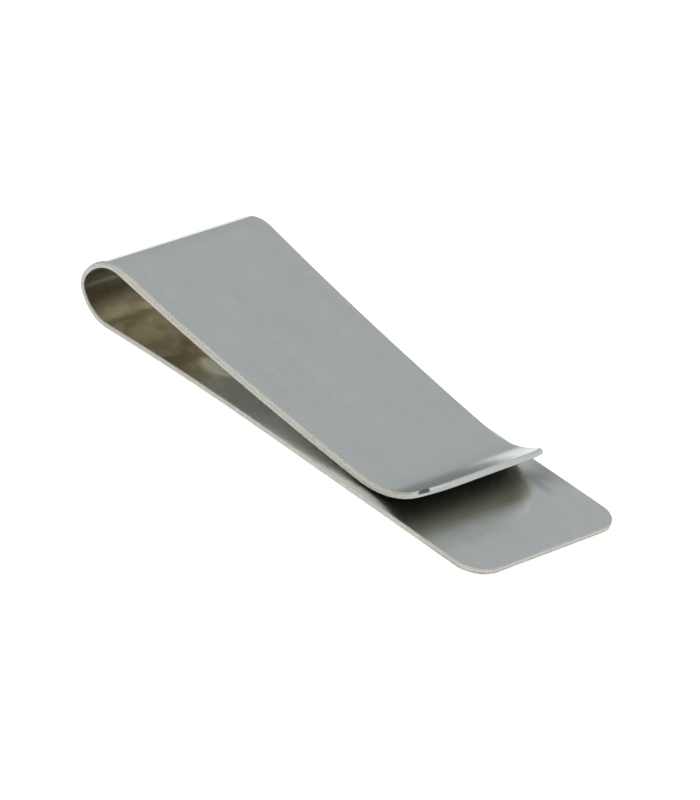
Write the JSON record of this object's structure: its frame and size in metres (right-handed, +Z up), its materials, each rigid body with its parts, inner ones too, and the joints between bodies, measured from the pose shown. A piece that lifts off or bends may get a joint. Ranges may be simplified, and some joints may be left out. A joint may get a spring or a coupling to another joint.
{
  "type": "money clip",
  "caption": "Strip of satin steel folded into a spring clip, with a rounded bend at the closed end, a tapered top leaf and an up-turned thumb lip.",
  "frame": {"origin": "middle of the footprint, on the surface the clip rests on", "axes": "+X from the spring bend to the open end, +Y across the strip, +Z up"},
  "size_m": [0.0556, 0.02, 0.0068],
  "materials": {
    "spring_steel": "satin"
  },
  "bodies": {
    "base": {"base_leaf": "spring_steel", "spring_bend": "spring_steel"},
    "leaf": {"top_leaf": "spring_steel", "thumb_lip": "spring_steel"}
  },
  "joints": [
    {"name": "leaf_open", "type": "hinge", "parent": "base", "child": "leaf", "pos_m": [-0.0257, 0, 0.00328], "axis": [0, -1, 0], "range_deg": [0, 8], "stiffness_Nm_per_rad": 2, "deforming": ["spring_bend"]}
  ]
}
